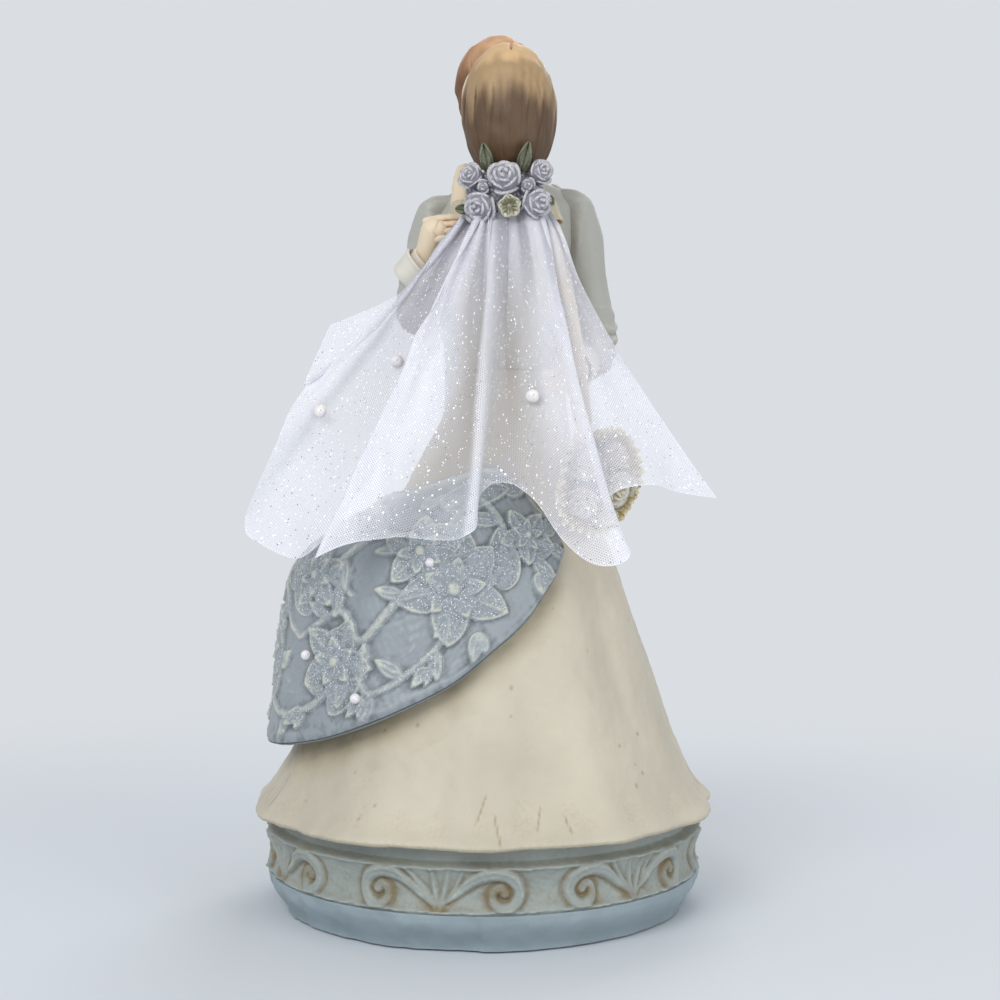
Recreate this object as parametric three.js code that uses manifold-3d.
// Wedding cake topper: a bride and a groom in an embrace, cast in stone resin in separate moulds, painted
// and glued together, with a gathered tulle veil, sculpted flowers and small pearls.
// Millimetres, +Z up. The origin is the middle of the underside. The veil hangs on the -Y side and the groom
// stands on the +Y side. Angles round the skirt are measured from -Y towards +X.
import * as THREE from "three";
import { mergeVertices } from "three/addons/utils/BufferGeometryUtils.js";
import Module from "manifold-3d";

const wasm = await Module();
wasm.setup();

// Fits that all castings share
const seatGap = 0.3; // glue line between two castings
const overrun = 1.2; // how far a joined or cut shape runs past the face it joins or cuts

// Base
const baseRadius = 47.5;
const slabHeight = 7.6;
const slabTaper = 3.2; // how much the slab draws in at its foot
const slabChip = 0.5; // unevenness of the hand-cut rim
const feltRadius = 40;
const feltThickness = 1;
const feltProud = 0.4; // how far the felt stands below the slab
const spigotRadius = 22; // boss that centres the scrolled band on the slab
const spigotHeight = 3;
const bandHeight = 9.2; // the scrolled band
const bandHollow = 1.3; // how far the band curves in between its two edges
const bandLedge = 0.6;
const coveHeight = 3.1; // plain undercut band over the scrolls
const coveDepth = 2.2;

// Scrolls on the band
const scrollPairs = 7;
const scrollTurn = 41.5; // degrees from -Y to the first pair's foot
const scrollRidge = 1.2; // how far a ridge stands out
const scrollRoot = 0.6; // how far its foot is sunk in the band
const scrollWidth = 1.9;
const scrollReach = 14; // along the band, from the foot of a pair to the middle of its curl
const curlRadius = 3.3;

// Skirt
const skirtHeight = 95;
const hemRadius = 50;
const waistRadius = 8.6;
const foldDepth = 0.9;
const foldCount = 11;
const waistShift = new THREE.Vector2(3.5, -7.5); // from the base's middle to the bride's waist
const pocketFront = 14; // where the skirt stops short of the groom's legs
const pegDepth = 8; // peg under the bodice, glued into the top of the skirt
const pegRadius = 5;

// Lace overskirt
const lacePuff = 13; // how far the fullest part stands off the skirt
const laceThickness = 2.2;
const laceLip = 1; // rolled lower edge

// Bride
const bodiceHeight = 34;
const bustWidth = 21.5;
const bustDepth = 17;
const shoulderWidth = 22;
const neckRadius = 3.9;
const neckLength = 16.5;
const brideHead = new THREE.Vector3(8.3, 9.6, 11.6); // half sizes
const brideHairThickness = 2.3;
const armRadius = 2.7;
const wristRadius = 1.9;
const strapWidth = 3;
const strapThickness = 0.7;

// Groom
const groomShift = new THREE.Vector2(4.8, 12.4); // from the base's middle to the middle of the chest
const legShift = 14; // the feet stand this much further back than the chest
const trouserHeight = 70;
const legRadius = 6;
const legSpread = 13.5;
const shoeLength = 25;
const shoeWidth = 9.6;
const shoeHeight = 6.2;
const jacketHeight = 70;
const chestWidth = 35;
const chestDepth = 18;
const lapelThickness = 0.8;
const lapelWidth = 4.2;
const shirtWidth = 8;
const shirtDrop = 26;
const groomNeck = 4.6;
const groomNeckLength = 13;
const collarHeight = 3.4;
const collarThickness = 1.2;
const bowWidth = 9;
const groomHead = new THREE.Vector3(8.8, 10, 12.4); // half sizes
const groomHairThickness = 1.9;
const earSize = 2;
const sleeveRadius = 4.9;
const upperArm = 27;
const cuffRadius = 4.4;
const cuffLength = 3.4;
const groomWrist = 2.7;
const fingerRadius = 1.15;
const fingerLength = 8;

// Hair flowers
const combWidth = 17.5;
const combHeight = 11.5;
const combDepth = 7.2;
const roseRadius = 3.4;
const budRadius = 1.4;
const leafLength = 6.4;
const leafWidth = 3.3;
const leafThickness = 0.7;

// Veil
const gatherWidth = 17.5;
const gatherRipple = 1.4; // depth of the pleats at the gather
const veilDrop = 60; // from the gather down to the middle of the hem
const veilSpan = 49; // half the spread of the hem
const veilReach = 28; // how far the hem stands out from the gather
const veilThickness = 0.7;
const pearlRadius = 1.35;
const lacePearlRadius = 1;

// Bouquet
const bouquetRadius = 10.5;
const bouquetRose = 4.2;
const bouquetTurn = 49; // degrees from -Y to where it lies on the skirt

const finishes = {
  felt: { color: 0x3f4a45, roughness: 0.95, metalness: 0 },
  stone_blue: { color: 0x9fb3b8, roughness: 0.65, metalness: 0 },
  ivory: { color: 0xe4dcc6, roughness: 0.6, metalness: 0 },
  lace_blue: { color: 0x9aa7ac, roughness: 0.5, metalness: 0 },
  skin: { color: 0xe6c9a8, roughness: 0.55, metalness: 0 },
  blonde: { color: 0xb59468, roughness: 0.5, metalness: 0 },
  auburn: { color: 0xb07a4e, roughness: 0.5, metalness: 0 },
  suit: { color: 0xb9b9b0, roughness: 0.65, metalness: 0 },
  linen: { color: 0xf2efe4, roughness: 0.6, metalness: 0 },
  flower: { color: 0xd5d4dc, roughness: 0.4, metalness: 0 },
  leaf: { color: 0x6f7f5a, roughness: 0.6, metalness: 0 },
  gold_cream: { color: 0xe5d6a4, roughness: 0.5, metalness: 0 },
  shoe: { color: 0x6d6a66, roughness: 0.35, metalness: 0 },
  tulle: { color: 0xf0f1f8, roughness: 0.5, metalness: 0 },
  pearl: { color: 0xf4f1ea, roughness: 0.15, metalness: 0 },
};

// Levels, from the floor up
const slabTop = feltProud + slabHeight;
const bandTop = slabTop + bandHeight;
const baseTop = bandTop + coveHeight;
const waistLevel = baseTop + skirtHeight;
const shoulderLevel = waistLevel + bodiceHeight;
const hipLevel = baseTop + trouserHeight;
const groomTop = hipLevel + jacketHeight;

const fullTurn = 2 * Math.PI;
const degrees = Math.PI / 180;
const vector = (x, y, z) => new THREE.Vector3(x, y, z);
const mix = (a, b, t) => a + (b - a) * t;
const turnBetween = (a, b) => Math.atan2(Math.sin(a - b), Math.cos(a - b));
const bell = (x, width) => Math.exp(-((x / width) ** 2));

function smooth(x) {
  const t = Math.min(Math.max(x, 0), 1);
  return t * t * (3 - 2 * t);
}

// Reads one column of a table whose first column rises or falls, with straight lines between its rows.
function read(table, place, column = 1) {
  const rows = table[table.length - 1][0] > table[0][0] ? table : [...table].reverse();
  const next = rows.findIndex((row) => place <= row[0]);
  if (next === 0) return rows[0][column];
  if (next < 0) return rows[rows.length - 1][column];
  const share = (place - rows[next - 1][0]) / (rows[next][0] - rows[next - 1][0]);
  return mix(rows[next - 1][column], rows[next][column], share);
}

// The same table with more rows, along smooth curves through the given ones.
function eased(table, count) {
  const curves = table[0].map(
    (_, column) => new THREE.SplineCurve(table.map((row, i) => new THREE.Vector2(i, row[column]))),
  );
  return Array.from({ length: count + 1 }, (_, i) => curves.map((curve) => curve.getPoint(i / count).y));
}

// A closed surface as a solid, turned right side out.
function solidOf(geometry) {
  const bare = geometry.clone();
  bare.deleteAttribute("normal");
  bare.deleteAttribute("uv");
  const merged = mergeVertices(bare);
  const vertProperties = merged.attributes.position.array;
  const triVerts = new Uint32Array(merged.index.array);
  const made = new wasm.Manifold(new wasm.Mesh({ numProp: 3, vertProperties, triVerts }));
  if (made.volume() > 0) return made;
  return new wasm.Manifold(new wasm.Mesh({ numProp: 3, vertProperties, triVerts: triVerts.reverse() }));
}

function solidFrom(points, faces) {
  return solidOf(new THREE.BufferGeometry().setFromPoints(points).setIndex(faces.flat()));
}

function geometryOf(solid) {
  const mesh = solid.getMesh();
  const points = new Float32Array(mesh.numVert * 3);
  for (let i = 0; i < mesh.numVert; i++) {
    points.set(mesh.vertProperties.subarray(i * mesh.numProp, i * mesh.numProp + 3), i * 3);
  }
  const geometry = new THREE.BufferGeometry();
  geometry.setAttribute("position", new THREE.BufferAttribute(points, 3));
  geometry.setIndex(new THREE.BufferAttribute(mesh.triVerts, 1));
  geometry.computeVertexNormals();
  return geometry;
}

// Rings of points, all of one count, skinned into a tube that two tips close.
function skinned(rings, firstTip, lastTip) {
  const sides = rings[0].length;
  const points = [...rings.flat(), firstTip, lastTip];
  const first = points.length - 2;
  const last = points.length - 1;
  const lastRow = (rings.length - 1) * sides;
  const faces = [];
  for (let k = 0; k < sides; k++) {
    const next = (k + 1) % sides;
    faces.push([first, next, k], [last, lastRow + k, lastRow + next]);
    for (let row = 0; row < lastRow; row += sides) {
      faces.push([row + k, row + next, row + sides + next], [row + k, row + sides + next, row + sides + k]);
    }
  }
  return solidFrom(points, faces);
}

// Two grids of points that face each other, joined round their rims.
function sheetBetween(front, back) {
  const rows = front.length;
  const columns = front[0].length;
  const at = (row, column) => row * columns + column;
  const under = (row, column) => at(row, column) + rows * columns;
  const faces = [];
  const quad = (a, b, c, d) => faces.push([a, b, c], [a, c, d]);
  for (let r = 0; r + 1 < rows; r++) {
    for (let c = 0; c + 1 < columns; c++) {
      quad(at(r, c), at(r, c + 1), at(r + 1, c + 1), at(r + 1, c));
      quad(under(r, c), under(r + 1, c), under(r + 1, c + 1), under(r, c + 1));
    }
    quad(at(r, 0), at(r + 1, 0), under(r + 1, 0), under(r, 0));
    quad(at(r, columns - 1), under(r, columns - 1), under(r + 1, columns - 1), at(r + 1, columns - 1));
  }
  for (let c = 0; c + 1 < columns; c++) {
    quad(at(0, c), under(0, c), under(0, c + 1), at(0, c + 1));
    quad(at(rows - 1, c), at(rows - 1, c + 1), under(rows - 1, c + 1), under(rows - 1, c));
  }
  return solidFrom([...front.flat(), ...back.flat()], faces);
}

// A body of level oval rings, each [height, x, y, half width, half depth], swelled all round by grow.
function stacked(rows, sides, grow = 0) {
  const last = rows.length - 1;
  const lift = (i) => (i === last ? grow : 0) - (i === 0 ? grow : 0);
  const rings = rows.map(([z, x, y, across, deep], i) =>
    Array.from({ length: sides }, (_, k) => {
      const a = (k / sides) * fullTurn;
      return vector(x + (across + grow) * Math.sin(a), y - (deep + grow) * Math.cos(a), z + lift(i));
    }),
  );
  const tip = (i) => vector(rows[i][1], rows[i][2], rows[i][0] + lift(i));
  return skinned(rings, tip(0), tip(last));
}

// A limb: round sections on a smooth curve through its stations. Its ends are domed, or pointed on thin
// ones.
const domeShare = 0.72;
const thinSides = 5;
function limb(stations, radii, sides, steps, grow = 0) {
  const curve = new THREE.CatmullRomCurve3(stations);
  const radiusRows = radii.map((radius, i) => [i / (radii.length - 1), radius]);
  const { tangents, normals, binormals } = curve.computeFrenetFrames(steps, false);
  const ring = (centre, i, radius) =>
    Array.from({ length: sides }, (_, k) => {
      const a = (k / sides) * fullTurn;
      const point = centre.clone().addScaledVector(normals[i], radius * Math.cos(a));
      return point.addScaledVector(binormals[i], radius * Math.sin(a));
    });
  const dome = (i, outward) => {
    const radius = read(radiusRows, i / steps) + grow;
    const centre = curve.getPointAt(i / steps);
    const tip = centre.clone().addScaledVector(tangents[i], outward * radius * domeShare);
    return { tip, shoulder: ring(centre.clone().lerp(tip, domeShare), i, radius * domeShare) };
  };
  const start = dome(0, -1);
  const end = dome(steps, 1);
  const rings = Array.from({ length: steps + 1 }, (_, i) =>
    ring(curve.getPointAt(i / steps), i, read(radiusRows, i / steps) + grow),
  );
  const domed = sides > thinSides ? [start.shoulder, ...rings, end.shoulder] : rings;
  return skinned(domed, start.tip, end.tip);
}

// A rounded body about a centre. shape gives the share of the half sizes that it reaches in each direction.
function ovoid(centre, half, rows, sides, shape = () => 1, grow = 0) {
  const point = (rise, turn) => {
    const share = shape(rise, turn);
    return vector(
      centre.x + Math.cos(rise) * Math.sin(turn) * (half.x * share + grow),
      centre.y - Math.cos(rise) * Math.cos(turn) * (half.y * share + grow),
      centre.z + Math.sin(rise) * (half.z * share + grow),
    );
  };
  const rings = [];
  for (let i = 1; i < rows; i++) {
    const rise = (i / rows - 1 / 2) * Math.PI;
    rings.push(Array.from({ length: sides }, (_, k) => point(rise, (k / sides) * fullTurn)));
  }
  return skinned(rings, point(-Math.PI / 2, 0), point(Math.PI / 2, 0));
}

// A cylinder that stands on its foot level.
function drum(radius, foot, height, sides) {
  const shape = new THREE.CylinderGeometry(radius, radius, height, sides);
  return solidOf(shape.rotateX(Math.PI / 2).translate(0, 0, foot + height / 2));
}

// An outline in X and Z, pushed along -Y from a starting depth.
function prism(outline, from, depth) {
  const shape = new THREE.Shape(outline.map(([x, z]) => new THREE.Vector2(x, z)));
  const block = new THREE.ExtrudeGeometry(shape, { depth, bevelEnabled: false });
  return solidOf(block.rotateX(Math.PI / 2).translate(0, from, 0));
}

// Turns a solid's +Z towards a direction and moves it to its place.
function facing(solid, at, direction) {
  const matrix = new THREE.Matrix4().lookAt(direction, vector(0, 0, 0), vector(0, 0, 1));
  return solid.transform(matrix.setPosition(at).elements);
}

// Cuts the seats of a casting: each neighbour is taken away with the glue line round it, and what is left in
// one piece is kept.
function seated(solid, neighbours) {
  const cut = neighbours.reduce((left, neighbour) => left.subtract(neighbour(seatGap)), solid);
  return cut.decompose().reduce((a, b) => (a.volume() > b.volume() ? a : b));
}

// Base

function feltPad(grow = 0) {
  return drum(feltRadius + grow, -grow, feltThickness + 2 * grow, 32);
}

const slabShares = [
  [0, 1],
  [0.3, 0.45],
  [0.75, 0],
  [1, 0],
];

function baseSlab() {
  const sides = 36;
  const rings = slabShares.map(([rise, taper], row) => {
    return Array.from({ length: sides }, (_, k) => {
      const a = (k / sides) * fullTurn;
      const chip = slabChip * Math.abs(Math.sin(5 * a + row) * Math.cos(3 * a));
      const radius = baseRadius - slabTaper * taper - chip;
      return vector(radius * Math.sin(a), -radius * Math.cos(a), mix(feltProud, slabTop, rise));
    });
  });
  return skinned(rings, vector(0, 0, feltProud), vector(0, 0, slabTop)).add(spigot());
}

function spigot(grow = 0) {
  return drum(spigotRadius + grow, slabTop - overrun, overrun + spigotHeight + grow, 24);
}

function bandRadius(up) {
  return baseRadius - bandHollow * Math.sin(Math.PI * Math.min(Math.max((up - slabTop) / bandHeight, 0), 1));
}

// Half of a pair of scrolls on the unrolled band, as [along, up]. It rises in an arc from the foot that the
// pair shares and ends in a curl; side is 1 or -1.
const scrollFootShare = 0.1;
const curlLevelShare = 0.47;
const curlTurnShare = 0.97;
const curlEndShare = 0.5;

function scrollLine(side) {
  const footUp = slabTop + bandHeight * scrollFootShare;
  const curlUp = slabTop + bandHeight * curlLevelShare;
  const rise = new THREE.CubicBezierCurve(
    new THREE.Vector2(0, footUp),
    new THREE.Vector2(scrollReach / 8, mix(footUp, curlUp, 1 / 2)),
    new THREE.Vector2(scrollReach / 2, curlUp + curlRadius),
    new THREE.Vector2(scrollReach, curlUp + curlRadius),
  );
  const curlSteps = 7;
  const curl = Array.from({ length: curlSteps }, (_, i) => {
    const t = (i + 1) / curlSteps;
    const radius = curlRadius * mix(1, curlEndShare, t);
    const turn = t * curlTurnShare * fullTurn;
    return new THREE.Vector2(scrollReach + radius * Math.sin(turn), curlUp + radius * Math.cos(turn));
  });
  return [...rise.getPoints(3), ...curl].map((point) => [side * point.x, point.y]);
}

// A ridge along a line on the unrolled band, wrapped onto it. It is low at both ends.
const ridgeEndShare = 0.4;
function ridgeOn(line, startAngle) {
  const last = line.length - 1;
  const rings = line.map(([along, up], i) => {
    const [fromAlong, fromUp] = line[Math.max(i - 1, 0)];
    const [toAlong, toUp] = line[Math.min(i + 1, last)];
    const run = new THREE.Vector2(toAlong - fromAlong, toUp - fromUp).normalize();
    const size = i === 0 || i === last ? ridgeEndShare : 1;
    const section = [
      [-scrollWidth / 2, -scrollRoot],
      [0, scrollRidge * size],
      [scrollWidth / 2, -scrollRoot],
    ];
    return section.map(([aside, out]) => {
      const z = up + run.x * aside * size;
      const a = startAngle + (along - run.y * aside * size) / baseRadius;
      return vector((bandRadius(z) + out) * Math.sin(a), -(bandRadius(z) + out) * Math.cos(a), z);
    });
  });
  const middle = (ring) => ring.reduce((sum, point) => sum.add(point), vector(0, 0, 0)).divideScalar(3);
  return skinned(rings, middle(rings[0]), middle(rings[last]));
}

function scrollBand() {
  const wall = [0, 1, 2].map((i) => {
    const up = mix(slabTop + bandLedge, bandTop, i / 2);
    return new THREE.Vector2(bandRadius(up), up);
  });
  const profile = [
    new THREE.Vector2(0, slabTop),
    new THREE.Vector2(baseRadius - bandLedge, slabTop),
    ...wall,
    new THREE.Vector2(baseRadius - coveDepth, bandTop + coveHeight / 3),
    new THREE.Vector2(baseRadius - coveDepth, baseTop),
    new THREE.Vector2(0, baseTop),
  ];
  const body = solidOf(new THREE.LatheGeometry(profile, 36).rotateX(Math.PI / 2));
  const footUp = slabTop + bandHeight * scrollFootShare;
  const sprig = [0, 0.5, 1].map((t) => [0, mix(footUp + scrollWidth, bandTop - scrollWidth, t)]);
  let band = body;
  for (let i = 0; i < scrollPairs; i++) {
    const angle = scrollTurn * degrees + (i / scrollPairs) * fullTurn;
    for (const line of [scrollLine(-1), scrollLine(1), sprig]) band = band.add(ridgeOn(line, angle));
  }
  return band;
}

// Skirt

// Height, and spread beyond the waist
const skirtShares = [
  [0, 0.95],
  [0.015, 1],
  [0.07, 0.905],
  [0.16, 0.8],
  [0.37, 0.617],
  [0.59, 0.425],
  [0.8, 0.21],
  [0.9, 0.085],
  [1, 0],
];
const skirtSides = 4 * foldCount;
// From straight behind to the corner of the flat that faces the groom's legs, and to where the skirt is
// round again
const pocketCorner = 46 * degrees;
const pocketEnd = 74 * degrees;

const skirtAxis = (share) => waistShift.clone().multiplyScalar(share);

function skirtRadius(angle, share) {
  const plain = mix(waistRadius, hemRadius, read(skirtShares, share));
  const round = plain + foldDepth * (1 - share) * Math.cos(foldCount * angle);
  const away = Math.abs(turnBetween(angle, Math.PI));
  if (away >= pocketEnd) return round;
  const flat = Math.min(round, (pocketFront - skirtAxis(share).y) / Math.cos(away));
  return mix(flat, round, smooth((away - pocketCorner) / (pocketEnd - pocketCorner)));
}

function skirtPoint(angle, share, out = 0) {
  const axis = skirtAxis(share);
  const radius = skirtRadius(angle, share) + out;
  return vector(
    axis.x + radius * Math.sin(angle),
    axis.y - radius * Math.cos(angle),
    baseTop + share * skirtHeight,
  );
}

function gownSkirt(grow = 0) {
  const rings = skirtShares.map(([share]) =>
    Array.from({ length: skirtSides }, (_, k) => skirtPoint((k / skirtSides) * fullTurn, share, grow)),
  );
  const tip = (share) => vector(skirtAxis(share).x, skirtAxis(share).y, baseTop + share * skirtHeight);
  return skinned(rings, tip(0), tip(1));
}

// Lace overskirt

// Angle in degrees, lower edge, upper edge and puff
const laceShares = [
  [33, 0.61, 0.64, 0],
  [22, 0.53, 0.7, 0.04],
  [13, 0.465, 0.75, 0.1],
  [2, 0.405, 0.78, 0.2],
  [-9, 0.34, 0.785, 0.3],
  [-21, 0.29, 0.775, 0.45],
  [-36, 0.236, 0.755, 0.62],
  [-52, 0.197, 0.74, 0.8],
  [-80, 0.17, 0.73, 1],
  [-112, 0.175, 0.73, 0.85],
  [-138, 0.2, 0.74, 0.35],
];
// Rise from the lower edge to the upper one, and puff
const lacePuffShares = [
  [0, 0.33],
  [0.05, 0.4],
  [0.18, 0.54],
  [0.38, 0.77],
  [0.56, 0.98],
  [0.68, 1.05],
  [0.8, 0.82],
  [0.91, 0.42],
  [1, 0],
];
// It runs over whole sides of the skirt, from the first of these to the last, so that it lies flat on each.
const laceStart = 4;
const laceStop = -17;
const laceGap = 1.5 * seatGap;

function lacePoint(side, rise, out) {
  const turn = (side / skirtSides) * fullTurn;
  const [low, high, full] = [1, 2, 3].map((column) => read(laceShares, turn / degrees, column));
  const puff = lacePuff * full * read(lacePuffShares, rise);
  return skirtPoint(turn, mix(low, high, rise), laceGap + puff + out);
}

function laceOverskirt(grow = 0) {
  const last = lacePuffShares.length - 1;
  const grid = (out, lip) =>
    lacePuffShares.map(([rise], row) =>
      Array.from({ length: laceStart - laceStop + 1 }, (_, c) => {
        const point = lacePoint(laceStart - c, rise, out + (row === 1 ? lip : 0));
        point.z += row === last ? grow : 0;
        point.z -= row === 0 ? grow : 0;
        return point;
      }),
    );
  return sheetBetween(grid(laceThickness + grow, laceLip), grid(-grow, 0));
}

// Bride

// Height, width and depth of the bodice
const bodiceShares = [
  [0, 0.8, 0.78],
  [0.15, 0.83, 0.8],
  [0.38, 0.9, 0.86],
  [0.62, 1, 1],
  [0.8, 1.02, 0.86],
  [0.94, 1, 0.7],
  [1, 0.8, 0.5],
];
const leanShares = [0.05, 0.1]; // how far the bride's shoulders lean to +X and towards the groom

function brideAxis(z) {
  const rise = (z - waistLevel) / bodiceHeight;
  const lean = new THREE.Vector2(bustWidth * leanShares[0], bustDepth * leanShares[1]);
  return waistShift.clone().addScaledVector(lean, rise);
}

function brideBodice(grow = 0) {
  const rows = eased(bodiceShares, 8).map(([rise, width, depth]) => {
    const z = waistLevel + seatGap + rise * (bodiceHeight - seatGap);
    return [z, brideAxis(z).x, brideAxis(z).y, (bustWidth * width) / 2, (bustDepth * depth) / 2];
  });
  const peg = [waistLevel - pegDepth, waistLevel + overrun].map((z) => [
    z,
    waistShift.x,
    waistShift.y,
    pegRadius,
    pegRadius,
  ]);
  return stacked(rows, 18, grow).add(stacked(peg, 10, grow));
}

// Height in neck lengths from the shoulder level, width and depth of the shoulders
const shoulderShares = [
  [-0.28, 0.82, 0.5],
  [-0.1, 0.96, 0.56],
  [0.06, 0.92, 0.52],
  [0.2, 0.66, 0.42],
  [0.34, 0.4, 0.34],
];

function brideShoulders(grow = 0) {
  const { x, y } = brideAxis(shoulderLevel);
  const chest = shoulderShares.map(([rise, width, depth]) => [
    shoulderLevel + rise * neckLength,
    x,
    y,
    (shoulderWidth * width) / 2,
    (shoulderWidth * depth) / 2,
  ]);
  const neckLevels = [0.1, 0.55, 1].map((rise) => shoulderLevel + rise * neckLength);
  const neck = neckLevels.map((z) => [z, x, y, neckRadius, neckRadius]);
  return stacked(chest, 16, grow).add(stacked(neck, 10, grow));
}

// A strap hugs the shoulder from front to back.
const strapPlaceShare = 0.62;
const gownStrap = (side) => (grow = 0) => {
  const { x, y } = brideAxis(shoulderLevel);
  const middle = x + (side * strapPlaceShare * shoulderWidth) / 2;
  const half = strapWidth / 2 + grow;
  const low = shoulderLevel - neckLength;
  const high = shoulderLevel + neckLength;
  const slice = prism(
    [
      [middle - half, low],
      [middle + half, low],
      [middle + half, high],
      [middle - half, high],
    ],
    y + shoulderWidth,
    2 * shoulderWidth,
  );
  return brideShoulders(seatGap + strapThickness + grow).intersect(slice);
};

// A plain head. It is full behind and narrow at the jaw, with a brow, a nose and a chin where it looks.
const headShape = (look) => (rise, turn) => {
  const level = Math.sin(rise);
  const aside = turnBetween(turn, look);
  const jaw = 0.2 * smooth(-level) * smooth(0.6 + 0.4 * Math.cos(aside));
  const nose = 0.12 * bell(aside, 0.2) * bell(level + 0.12, 0.17);
  const chin = 0.08 * bell(aside, 0.4) * bell(level + 0.74, 0.16);
  const brow = 0.03 * bell(aside, 0.6) * bell(level - 0.2, 0.12);
  return 1 - jaw + nose + chin + brow;
};

// Hair over a head. line gives, for each level, how far forward the hair comes, as the cosine of the angle
// from where the head looks; in front of that it ends under the skin.
const hairShape = (look, line, locks, lockShare, full) => (rise, turn) => {
  const level = Math.sin(rise);
  const front = Math.cos(turnBetween(turn, look));
  const bare = smooth((front - read(line, level)) * 4);
  const lock = lockShare * Math.cos(locks * turn + 2 * rise) * Math.cos(rise);
  const bob = full * bell(level + 0.66, 0.22);
  return (1 - 0.07 * smooth(-level * 1.5) + bob + lock) * (1 - 0.42 * bare);
};
const brideHairShares = [
  [-1, -0.05],
  [-0.5, 0.1],
  [0, 0.35],
  [0.35, 0.55],
  [0.6, 0.85],
  [0.75, 1.2],
];
const groomHairShares = [
  [-0.7, -1.3],
  [-0.5, -0.95],
  [-0.3, -0.5],
  [0, -0.1],
  [0.3, 0.25],
  [0.6, 0.75],
  [0.75, 1.2],
];
const brideLook = Math.PI;
const bobShare = 0.2; // how much fuller the bride's hair is at the nape than an oval
const groomLook = 14 * degrees;

function brideHeadCentre() {
  const { x, y } = brideAxis(shoulderLevel);
  return vector(x + brideHead.x / 8, y - brideHead.y / 16, shoulderLevel + neckLength + brideHead.z / 2);
}

function brideHeadBody(grow = 0) {
  return ovoid(brideHeadCentre(), brideHead, 9, 16, headShape(brideLook), grow);
}

function brideHair(grow = 0) {
  const half = brideHead.clone().addScalar(brideHairThickness);
  half.z += brideHairThickness * 0.6;
  const centre = brideHeadCentre();
  centre.y -= brideHead.y / 16;
  centre.z += brideHead.z / 12;
  return ovoid(centre, half, 9, 18, hairShape(brideLook, brideHairShares, 10, 0.018, bobShare), grow);
}

// Groom

// Height from the groom's feet to the shoulders, and how far the figure stands back there, in leg shifts
const standShares = [
  [0, 1],
  [0.3, 0.96],
  [0.5, 0.6],
  [0.66, 0.3],
  [0.85, 0],
  [1, 0],
];

function groomAxis(z) {
  const share = read(standShares, (z - baseTop) / (groomTop - baseTop));
  return new THREE.Vector2(groomShift.x, groomShift.y + legShift * share);
}

const legShares = [
  [0, 0.95],
  [0.3, 0.9],
  [0.65, 1.02],
  [1, 1.2],
];

function trouserLeg(side, grow) {
  const hem = baseTop + shoeHeight / 2;
  const rows = legShares.map(([rise, size]) => {
    const z = mix(hem, hipLevel, rise);
    const radius = legRadius * size;
    return [z, groomAxis(z).x + (side * legSpread) / 2, groomAxis(z).y, radius, radius];
  });
  return stacked(rows, 12, grow);
}

// Height in leg radii from the hips, width beyond the legs' axes and depth, in leg radii
const seatShares = [
  [-1.4, 0.95, 1.05],
  [0.4, 1, 1.2],
  [1.6, 0.85, 1.05],
];

function groomTrousers(grow = 0) {
  const rows = seatShares.map(([rise, width, depth]) => {
    const z = hipLevel + rise * legRadius;
    return [z, groomAxis(z).x, groomAxis(z).y, legSpread / 2 + legRadius * width, legRadius * depth];
  });
  return trouserLeg(-1, grow).add(trouserLeg(1, grow)).add(stacked(rows, 16, grow));
}

const heelShare = 0.3; // of the shoe's length, behind the leg
const shoeSplay = 8; // degrees
const groomShoe = (side) => (grow = 0) => {
  const half = shoeWidth / 2 + grow;
  const heel = shoeLength * heelShare + grow;
  const toe = shoeLength * (1 - heelShare) + grow;
  const outline = new THREE.Shape();
  outline.moveTo(half * 0.75, heel);
  outline.bezierCurveTo(half, 0, half * 1.15, -toe * 0.7, 0, -toe);
  outline.bezierCurveTo(-half * 1.15, -toe * 0.7, -half, 0, -half * 0.75, heel);
  const depth = shoeHeight / 2 + grow;
  const sole = new THREE.ExtrudeGeometry(outline, { depth, bevelEnabled: false, curveSegments: 7 });
  const upper = ovoid(
    vector(0, -shoeLength / 12, shoeHeight / 2),
    vector(half * 0.86, shoeLength * 0.36, shoeHeight / 2),
    6,
    12,
    () => 1,
    grow,
  );
  const place = groomAxis(baseTop);
  return solidOf(sole)
    .add(upper)
    .rotate([0, 0, side * shoeSplay])
    .translate([place.x + (side * legSpread) / 2, place.y, baseTop]);
};

// Height, width and depth of the jacket
const jacketShares = [
  [0, 0.98, 1.16],
  [0.04, 0.95, 1.14],
  [0.16, 0.88, 1.06],
  [0.32, 0.8, 0.96],
  [0.47, 0.82, 0.96],
  [0.64, 0.94, 1.02],
  [0.8, 1, 1.02],
  [0.9, 0.99, 0.9],
  [0.965, 0.76, 0.72],
  [1, 0.42, 0.54],
];

function jacketBody(grow = 0) {
  const rows = jacketShares.map(([rise, width, depth]) => {
    const z = mix(groomTop - jacketHeight, groomTop, rise);
    return [z, groomAxis(z).x, groomAxis(z).y, (chestWidth * width) / 2, (chestDepth * depth) / 2];
  });
  return stacked(rows, 20, grow);
}

// The V of the jacket's front, widened by grow
function frontOpening(grow) {
  const { x, y } = groomAxis(groomTop);
  const high = groomTop + overrun;
  const low = groomTop - shirtDrop - 2 * grow;
  return prism(
    [
      [x, low],
      [x + shirtWidth / 2 + grow, mix(low, high, 0.75)],
      [x + shirtWidth / 2 + grow, high],
      [x - shirtWidth / 2 - grow, high],
      [x - shirtWidth / 2 - grow, mix(low, high, 0.75)],
    ],
    y - chestDepth / 6,
    chestDepth,
  );
}

const groomJacket = (grow = 0) =>
  jacketBody(grow).add(jacketBody(lapelThickness + grow).intersect(frontOpening(lapelWidth)));
const shirtFront = (grow = 0) => jacketBody(lapelThickness / 2 + grow).intersect(frontOpening(grow));

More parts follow.
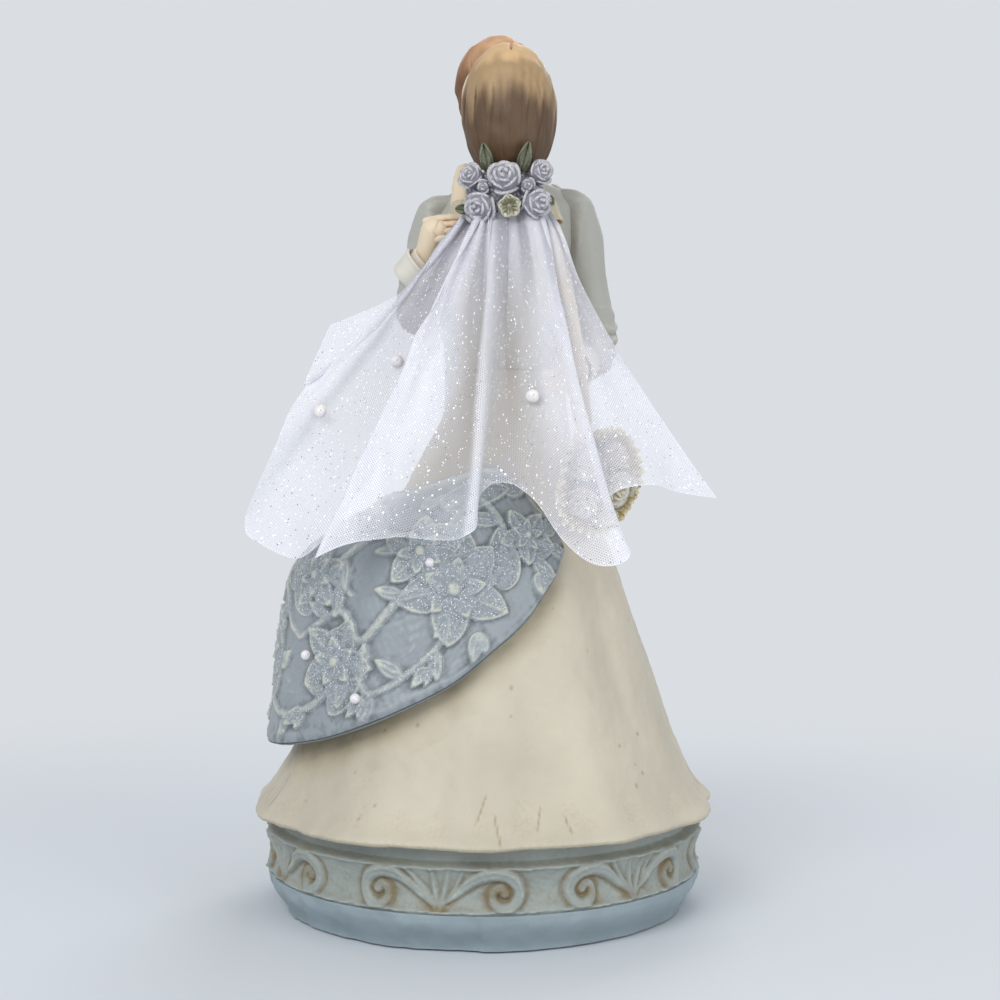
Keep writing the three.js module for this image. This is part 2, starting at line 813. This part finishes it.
function groomNeckBody(grow = 0) {
  const { x, y } = groomAxis(groomTop);
  const rows = [-0.2, 0.5, 1].map((rise) => [groomTop + rise * groomNeckLength, x, y, groomNeck, groomNeck]);
  return stacked(rows, 12, grow);
}

function shirtCollar(grow = 0) {
  const { x, y } = groomAxis(groomTop);
  const rows = [
    [groomTop - overrun, x, y, groomNeck + 2 * collarThickness, groomNeck + 2 * collarThickness],
    [groomTop + collarHeight, x, y, groomNeck + collarThickness, groomNeck + collarThickness],
  ];
  return stacked(rows, 16, grow);
}

function bowTie(grow = 0) {
  const { x, y } = groomAxis(groomTop);
  const place = (share) =>
    vector(x + (share * bowWidth) / 2, y - groomNeck - 2 * collarThickness, groomTop + collarHeight / 3);
  const wing = vector(bowWidth / 4, collarThickness, collarHeight / 2);
  const knot = vector(bowWidth / 8, collarThickness * 1.3, collarHeight / 2.6);
  const waist = (rise, turn) => 1 - 0.25 * bell(Math.cos(turn), 0.5) * Math.cos(rise);
  const wings = [-0.55, 0.55].map((share) => ovoid(place(share), wing, 4, 8, waist, grow));
  return ovoid(place(0), knot, 4, 8, () => 1, grow).add(wings[0]).add(wings[1]);
}

function groomHeadCentre() {
  const { x, y } = groomAxis(groomTop);
  const chin = groomTop + groomNeckLength - groomHead.z / 3;
  return vector(x - groomHead.x / 6, y + groomHead.y / 3, chin + groomHead.z);
}

function groomHeadBody(grow = 0) {
  const centre = groomHeadCentre();
  const ears = [-1, 1].map((side) => {
    const at = centre.clone().add(vector(side * (groomHead.x - earSize / 4), 0, -groomHead.z / 10));
    return ovoid(at, vector(earSize / 2, earSize * 0.7, earSize), 4, 6, () => 1, grow);
  });
  return ovoid(centre, groomHead, 9, 18, headShape(groomLook), grow)
    .add(ears[0])
    .add(ears[1])
    .add(groomNeckBody(grow));
}

function groomHair(grow = 0) {
  const half = groomHead.clone().addScalar(groomHairThickness);
  const centre = groomHeadCentre();
  centre.z += groomHead.z / 10;
  return ovoid(centre, half, 8, 18, hairShape(groomLook, groomHairShares, 9, 0.02, 0), grow);
}

// Arms and hands

// A place off the bodice, by angle and height share
function onBodice(angle, rise, off) {
  const z = waistLevel + rise * bodiceHeight;
  const width = (bustWidth * read(bodiceShares, rise, 1)) / 2 + off;
  const depth = (bustDepth * read(bodiceShares, rise, 2)) / 2 + off;
  return vector(brideAxis(z).x + width * Math.sin(angle), brideAxis(z).y - depth * Math.cos(angle), z);
}

// For each of the groom's arms: where its hand lies on the bodice, the way from the shoulder to the elbow
// in upper arms, and from the palm back to the wrist in wrist radii; then the ways its fingers and its
// knuckles run.
const groomArms = {
  [-1]: {
    palm: () => onBodice(-60 * degrees, 0.88, groomWrist * 1.4),
    elbowShares: vector(-0.17, -0.25, -0.95),
    wristShares: vector(-1.9, 0.75, -2),
    fingers: vector(0.9, -0.12, 0.25).normalize(),
    knuckles: vector(0.2, -0.2, -1).normalize(),
  },
  [1]: {
    palm: () => onBodice(78 * degrees, -0.02, groomWrist * 1.3),
    elbowShares: vector(0.22, -0.1, -1.15),
    wristShares: vector(1.5, 2.1, 0.7),
    fingers: vector(-0.25, -0.85, -0.3).normalize(),
    knuckles: vector(0.25, 0.2, -0.95).normalize(),
  },
};

function groomArm(side) {
  const { palm, elbowShares, wristShares } = groomArms[side];
  const { x, y } = groomAxis(groomTop);
  const shoulder = vector(x + side * (chestWidth / 2 - sleeveRadius / 2), y, groomTop - sleeveRadius * 1.3);
  const elbow = shoulder.clone().addScaledVector(elbowShares, upperArm);
  const wrist = palm().addScaledVector(wristShares, groomWrist);
  return { shoulder, elbow, wrist, palm: palm() };
}

const groomSleeve = (side) => (grow = 0) => {
  const { shoulder, elbow, wrist } = groomArm(side);
  const along = elbow.clone().sub(wrist).normalize();
  const end = wrist.clone().addScaledVector(along, cuffLength + sleeveRadius * domeShare);
  const inside = shoulder.clone().add(vector(-side * sleeveRadius * 1.1, 0, sleeveRadius * 0.45));
  const stations = [inside, shoulder, shoulder.clone().lerp(elbow, 0.6), elbow, end];
  const radii = [0.86, 1, 1, 1.02, 0.96].map((share) => share * sleeveRadius);
  return limb(stations, radii, 11, 7, grow);
};

const groomCuff = (side) => (grow = 0) => {
  const { elbow, wrist } = groomArm(side);
  const along = elbow.clone().sub(wrist).normalize();
  const start = wrist.clone().addScaledVector(along, cuffLength);
  return limb([start, wrist], [cuffRadius, cuffRadius * 0.94], 12, 1, grow);
};

// Four fingers and a thumb on a palm, fused. The fingers differ in length.
const fingerShares = [0.82, 0.98, 1, 0.8];
const thumbShare = 0.6;
function hand(wrist, palm, fingers, knuckles, width, finger, length, grow) {
  const radii = [width * 0.62, width * 0.85, width * 0.8];
  let made = limb([wrist, wrist.clone().lerp(palm, 0.5), palm], radii, 7, 2, grow);
  fingerShares.forEach((share, i) => {
    const root = palm.clone().addScaledVector(knuckles, (i - 1.5) * finger * 1.5);
    const tip = root.clone().addScaledVector(fingers, length * share);
    made = made.add(limb([root, tip], [finger, finger * 0.8], thinSides, 1, grow));
  });
  const apart = knuckles.clone().multiplyScalar(-width * 0.6);
  const root = wrist.clone().lerp(palm, 0.5).add(apart);
  const tip = root.clone().addScaledVector(fingers, length * thumbShare).add(apart);
  return made.add(limb([root, tip], [finger * 1.1, finger * 0.85], thinSides, 1, grow));
}

const groomHand = (side) => (grow = 0) => {
  const { wrist, palm } = groomArm(side);
  const { fingers, knuckles } = groomArms[side];
  return hand(wrist, palm, fingers, knuckles, groomWrist, fingerRadius, fingerLength, grow);
};

function brideShoulder(side) {
  const { x, y } = brideAxis(shoulderLevel);
  return vector(x + side * (shoulderWidth / 2 - armRadius * 0.7), y, shoulderLevel - armRadius / 2);
}

// The bride's left arm goes up to the side of the groom's neck.
function brideLeftArm(grow = 0) {
  const neck = groomAxis(groomTop);
  const shoulder = brideShoulder(-1);
  const wrist = vector(neck.x - groomNeck * 1.9, neck.y, groomTop + wristRadius);
  const elbow = shoulder.clone().lerp(wrist, 0.45).add(vector(0, -armRadius * 0.3, armRadius * 2.4));
  const fingers = wrist.clone().add(vector(wristRadius, fingerLength * 0.8, wristRadius * 0.6));
  const radii = [armRadius * 1.15, armRadius, wristRadius, wristRadius * 0.9];
  return limb([shoulder, elbow, wrist, fingers], radii, 8, 6, grow);
}

const bouquetShare = 0.76; // how far up the skirt the bouquet lies
const bouquetFacing = vector(0.62, -0.74, -0.26).normalize();
function bouquetCentre() {
  const angle = bouquetTurn * degrees;
  return skirtPoint(angle, bouquetShare, bouquetRadius * 0.7);
}

// The bride's right arm hangs, and its hand closes on the top of the bouquet.
function brideRightArm(grow = 0) {
  const shoulder = brideShoulder(1);
  const centre = bouquetCentre();
  const wrist = centre.clone().add(vector(-bouquetRadius / 8, bouquetRadius / 3, bouquetRadius * 1.15));
  const palm = centre.clone().add(vector(-bouquetRadius / 12, bouquetRadius / 6, bouquetRadius * 0.75));
  const elbow = shoulder.clone().lerp(wrist, 0.52).add(vector(armRadius / 4, armRadius / 3, 0));
  const fingers = vector(0.1, -0.5, -0.8).normalize();
  const knuckles = vector(0.85, 0.4, 0).normalize();
  const arm = limb([shoulder, elbow, wrist], [armRadius * 1.15, armRadius, wristRadius], 8, 5, grow);
  return arm.add(
    hand(wrist, palm, fingers, knuckles, wristRadius, fingerRadius * 0.8, fingerLength * 0.6, grow),
  );
}

// Flowers

// A rose that faces +Z: a dome whose petals wind outwards from its middle.
const petalShare = 0.09;
const roseBend = 112 * degrees;
function rose(radius, rows, sides, grow) {
  const petal = petalShare * radius;
  const rings = Array.from({ length: rows }, (_, i) => {
    const t = (i + 1) / rows;
    return Array.from({ length: sides }, (_, k) => {
      const a = (k / sides) * fullTurn;
      const wind = Math.cos(2 * fullTurn * t - a);
      const out = Math.sin(roseBend * t) * (radius + grow) + petal * wind * t;
      return vector(
        out * Math.cos(a),
        out * Math.sin(a),
        Math.cos(roseBend * t) * (radius + grow) + petal * 1.5 * wind,
      );
    });
  });
  const foot = Math.cos(roseBend) * (radius + grow) - petal * 2;
  return skinned(rings, vector(0, 0, radius * 0.85 + grow), vector(0, 0, foot));
}

// Places on the comb: across and up from its middle in half widths and half heights, and size
const roseShares = [
  [0.03, 0.44, 1],
  [-0.6, -0.58, 0.88],
  [0.86, 0.7, 0.8],
  [0.76, -0.45, 0.88],
  [-0.8, 0.54, 0.78],
];
const budShares = [
  [0.55, 0.16, 1],
  [-0.52, 0.1, 0.95],
  [0.11, -0.6, 1.5],
];
// Across, up, size, and the way the leaf points in degrees from +X towards +Z
const leafShares = [
  [-0.38, 0.73, 1, 103],
  [0.4, 0.73, 1.05, 75],
  [-0.8, -0.58, 0.62, 196],
  [0.96, -0.3, 0.5, -12],
];

function combCentre() {
  const { x, y } = brideAxis(shoulderLevel);
  return vector(x, y - bustDepth / 3 - combDepth / 4, shoulderLevel + combHeight * 0.375);
}

function combPoint(across, up, out) {
  return combCentre().add(vector((across * combWidth) / 2, -out, (up * combHeight) / 2));
}

function flowerComb(grow = 0) {
  return ovoid(combCentre(), vector(combWidth / 2, combDepth / 2, combHeight / 2), 7, 14, () => 1, grow);
}

const hairRose = (index) => (grow = 0) => {
  const [across, up, size] = roseShares[index];
  const depth = (combDepth / 2) * Math.sqrt(Math.max(1 - 0.8 * across * across - 0.5 * up * up, 0));
  const way = vector(across * 0.55, -1, up * 0.45).normalize();
  return facing(rose(roseRadius * size, 5, 10, grow), combPoint(across, up, depth), way);
};

const hairBud = (index) => (grow = 0) => {
  const [across, up, size] = budShares[index];
  const at = combPoint(across, up, combDepth / 2 + budRadius / 2);
  const half = vector(budRadius, budRadius, budRadius).multiplyScalar(size);
  return ovoid(at, half, 4, 8, (rise, turn) => 1 + 0.1 * Math.cos(3 * turn), grow);
};

// A leaf that points along +Y from its foot, cupped along its rib.
const leafWidthShares = [0.25, 0.9, 1, 0.7, 0.08];
const leafCupShare = 0.3;
function leaf(length, width, thickness) {
  const grid = (lift) =>
    leafWidthShares.map((share, i) => {
      const t = i / (leafWidthShares.length - 1);
      return [-1, 0, 1].map((aside) => {
        const cup = leafCupShare * width * share * Math.abs(aside);
        return vector((aside * share * width) / 2, t * length, lift + cup + (length / 8) * t * t);
      });
    });
  return sheetBetween(grid(thickness / 2), grid(-thickness / 2));
}

const hairLeaf = (index) => (grow = 0) => {
  const [across, up, size, angle] = leafShares[index];
  const along = vector(Math.cos(angle * degrees), -0.2, Math.sin(angle * degrees)).normalize();
  const side = vector(0, -1, 0).cross(along).normalize();
  const out = side.clone().cross(along).negate();
  const matrix = new THREE.Matrix4().makeBasis(side.clone().negate(), along, out);
  matrix.setPosition(combPoint(across, up, combDepth / 4));
  const width = leafWidth * Math.sqrt(size) + 2 * grow;
  return leaf(leafLength * size + grow, width, leafThickness + 2 * grow).transform(matrix.elements);
};

// Bouquet

// Height and radius of its paper frill, and how deep the crimps are there
const frillShares = [
  [-0.55, 0.2, 0],
  [-0.35, 0.62, 0.03],
  [-0.12, 0.92, 0.07],
  [0.04, 1, 0.09],
  [0.1, 0.94, 0.07],
  [0.06, 0.6, 0],
];
const frillCrimps = 10;

function bouquetFrill(grow = 0) {
  const sides = 2 * frillCrimps;
  const widest = frillShares.findIndex(([, out]) => out === 1);
  const rings = frillShares.map(([rise, out, crimp], row) =>
    Array.from({ length: sides }, (_, k) => {
      const a = (k / sides) * fullTurn;
      const radius = bouquetRadius * (out + crimp * Math.cos(frillCrimps * a)) + grow;
      const up = bouquetRadius * rise + grow * Math.sign(row - widest);
      return vector(radius * Math.cos(a), radius * Math.sin(a), up);
    }),
  );
  const low = vector(0, 0, bouquetRadius * frillShares[0][0] - grow);
  const high = vector(0, 0, bouquetRadius / 2 + grow);
  return facing(skinned(rings, low, high), bouquetCentre(), bouquetFacing);
}

const bouquetRoses = 6;
const bouquetTilt = 62 * degrees; // of the outer roses

const bouquetBloom = (index) => (grow = 0) => {
  const turn = (index / (bouquetRoses - 1)) * fullTurn;
  const tilt = index === bouquetRoses - 1 ? 0 : bouquetTilt;
  const way = vector(Math.sin(tilt) * Math.cos(turn), Math.sin(tilt) * Math.sin(turn), Math.cos(tilt));
  const place = way.clone().multiplyScalar(bouquetRadius - bouquetRose);
  const bloom = facing(rose(bouquetRose, 4, 9, grow), place, way);
  return facing(bloom, bouquetCentre(), bouquetFacing);
};

// Veil

// The hem from its left corner to its right one: across, down and out, in spans, drops and reaches
const hemShares = [
  [-0.75, 0.37, 0.25],
  [-0.93, 0.72, 0.43],
  [-1.05, 1.04, 0.6],
  [-0.86, 1.16, 0.78],
  [-0.74, 1.17, 1],
  [-0.55, 1.1, 0.86],
  [-0.38, 1.09, 0.94],
  [-0.2, 1.11, 1.05],
  [-0.11, 1.05, 1],
  [-0.05, 0.94, 0.84],
  [0.04, 0.93, 0.82],
  [0.14, 1, 0.93],
  [0.24, 1.13, 1.02],
  [0.37, 1.19, 1],
  [0.485, 1.14, 0.84],
  [0.545, 1.02, 0.62],
  [0.66, 0.94, 0.44],
  [0.88, 0.97, 0.32],
];
const veilColumns = 38;
const veilRows = 7;
const sideSagShare = 0.11;
const bellyShare = 0.1;
const gatherShare = 0.07; // how far the gather lies beyond the middle of the comb, in its half widths
const hemRows = eased(hemShares, veilColumns).map((row, i) => [i / veilColumns, ...row]);

function gatherPoint(across, out) {
  const foot = combPoint(gatherShare, -0.92, combDepth / 4);
  return foot.add(vector((across * gatherWidth) / 2, -out * gatherRipple, 0));
}

// A place on the veil: across from 0 to 1 along the hem, fall from 0 at the gather to 1 at the hem.
function veilPoint(across, fall) {
  const [x, down, out] = [1, 2, 3].map((column) => read(hemRows, across, column));
  const end = gatherPoint(0, 0).add(vector(x * veilSpan, -out * veilReach, -down * veilDrop));
  const point = gatherPoint(mix(-1, 1, across), 2 * out - 1).lerp(end, fall);
  const bow = 4 * fall * (1 - fall);
  point.y -= bellyShare * veilReach * bow;
  point.z -= sideSagShare * veilDrop * bow * smooth(Math.abs(x) * 1.6 - 0.5);
  return point;
}

function veil(grow = 0) {
  const grid = (away) =>
    Array.from({ length: veilRows + 1 }, (_, r) =>
      Array.from({ length: veilColumns + 1 }, (_, c) => {
        const point = veilPoint(c / veilColumns, r / veilRows);
        point.y += away;
        return point;
      }),
    );
  return sheetBetween(grid(-veilThickness / 2 - grow), grid(veilThickness / 2 + grow));
}

const pearl = (at, radius) => ovoid(at, vector(radius, radius, radius), 5, 8);

// Where pearls are sewn on the veil: across and fall
const veilPearlShares = [
  [0.08, 0.74],
  [0.14, 0.39],
  [0.635, 0.68],
];
const veilPearl = (index) => (grow = 0) => {
  const at = veilPoint(...veilPearlShares[index]);
  at.y -= veilThickness / 2 + pearlRadius * 0.7;
  return pearl(at, pearlRadius + grow);
};

// Where pearls sit on the lace: along from its first side to its last, and rise
const lacePearlShares = [
  [0.31, 0.6],
  [0.52, 0.34],
  [0.4, 0.12],
  [0.82, 0.5],
];
const lacePearl = (index) => (grow = 0) => {
  const [along, rise] = lacePearlShares[index];
  const out = laceThickness + lacePearlRadius * 0.55;
  return pearl(lacePoint(mix(laceStart, laceStop, along), rise, out), lacePearlRadius + grow);
};

// Assembly: for each casting its name, its body, its finish and the neighbours that it is cut to

const series = (name, count, body, finish, neighbours) =>
  Array.from({ length: count }, (_, i) => [
    `${name}_${i + 1}`,
    body(i),
    finish,
    [...neighbours, ...Array.from({ length: i }, (_, j) => body(j))],
  ]);

const combFlowers = roseShares.map((_, i) => hairRose(i));
const combBuds = budShares.map((_, i) => hairBud(i));
const blooms = Array.from({ length: bouquetRoses }, (_, i) => bouquetBloom(i));

const brideTorso = [brideBodice, brideShoulders, gownStrap(-1), gownStrap(1)];
const assembly = {
  base: [
    ["felt_pad", feltPad, "felt", []],
    ["base_slab", baseSlab, "stone_blue", [feltPad]],
    ["scroll_band", scrollBand, "stone_blue", [spigot]],
  ],
  gown: [
    ["gown_skirt", gownSkirt, "ivory", [brideBodice]],
    ["lace_overskirt", laceOverskirt, "lace_blue", []],
    ...series("lace_pearl", lacePearlShares.length, lacePearl, "pearl", [laceOverskirt]),
    ["gown_bodice", brideBodice, "ivory", []],
    ["gown_strap_left", gownStrap(-1), "lace_blue", [brideShoulders, brideBodice]],
    ["gown_strap_right", gownStrap(1), "lace_blue", [brideShoulders, brideBodice]],
  ],
  bride: [
    ["bride_shoulders", brideShoulders, "skin", [brideBodice]],
    ["bride_head", brideHeadBody, "skin", [brideShoulders]],
    ["bride_hair", brideHair, "blonde", [brideHeadBody, brideShoulders]],
    ["bride_left_arm", brideLeftArm, "skin", [...brideTorso, brideHair, brideHeadBody, groomJacket]],
    ["bride_right_arm", brideRightArm, "skin", [...brideTorso, gownSkirt]],
  ],
  groom: [
    ["groom_shoe_left", groomShoe(1), "shoe", [gownSkirt]],
    ["groom_shoe_right", groomShoe(-1), "shoe", [gownSkirt]],
    ["groom_trousers", groomTrousers, "suit", [groomShoe(1), groomShoe(-1), gownSkirt, groomJacket]],
    ["groom_jacket", groomJacket, "suit", [shirtFront, brideBodice, brideShoulders, gownSkirt]],
    ["shirt_front", shirtFront, "linen", [brideBodice, brideShoulders]],
    ["groom_head", groomHeadBody, "skin", [groomJacket, shirtFront]],
    ["groom_hair", groomHair, "auburn", [groomHeadBody]],
    ["shirt_collar", shirtCollar, "linen", [groomHeadBody, groomJacket, shirtFront]],
    ["bow_tie", bowTie, "suit", [shirtCollar, groomJacket, shirtFront]],
  ],
  arms: [],
  hairFlowers: [],
  bouquet: [],
  veil: [],
};

const neighboursOfSleeve = [groomJacket, groomTrousers, ...brideTorso, brideLeftArm, brideRightArm];
for (const [name, side] of [
  ["right", -1],
  ["left", 1],
]) {
  const sleeve = groomSleeve(side);
  const cuff = groomCuff(side);
  const body = groomHand(side);
  assembly.arms.push(
    [`groom_sleeve_${name}`, sleeve, "suit", [...neighboursOfSleeve, cuff, gownSkirt]],
    [`shirt_cuff_${name}`, cuff, "linen", [...neighboursOfSleeve, body]],
    [`groom_hand_${name}`, body, "skin", [...neighboursOfSleeve, gownSkirt]],
  );
}

const behindComb = [brideHair, ...brideTorso];
assembly.hairFlowers.push(
  ["flower_comb", flowerComb, "leaf", behindComb],
  ...series("hair_rose", roseShares.length, hairRose, "flower", [flowerComb, ...behindComb]),
  ...series("hair_bud", budShares.length, hairBud, "flower", [flowerComb, ...behindComb, ...combFlowers]),
  ...series("hair_leaf", leafShares.length, hairLeaf, "leaf", [
    flowerComb,
    ...behindComb,
    ...combFlowers,
    ...combBuds,
  ]),
);

assembly.bouquet.push(
  ["bouquet_frill", bouquetFrill, "gold_cream", [gownSkirt, laceOverskirt, brideRightArm]],
  ...series("bouquet_rose", bouquetRoses, bouquetBloom, "ivory", [bouquetFrill, gownSkirt, brideRightArm]),
);

assembly.veil.push(
  ["veil", veil, "tulle", [flowerComb, ...behindComb, ...combFlowers, ...combBuds, ...blooms, bouquetFrill]],
  ...series("veil_pearl", veilPearlShares.length, veilPearl, "pearl", [veil]),
);

const topper = new THREE.Group();
for (const [groupName, rows] of Object.entries(assembly)) {
  const group = new THREE.Group();
  group.name = groupName;
  for (const [name, body, finish, neighbours] of rows) {
    const mesh = new THREE.Mesh(
      geometryOf(seated(body(), neighbours)),
      new THREE.MeshStandardMaterial(finishes[finish]),
    );
    mesh.name = name;
    group.add(mesh);
  }
  topper.add(group);
}

export default topper;
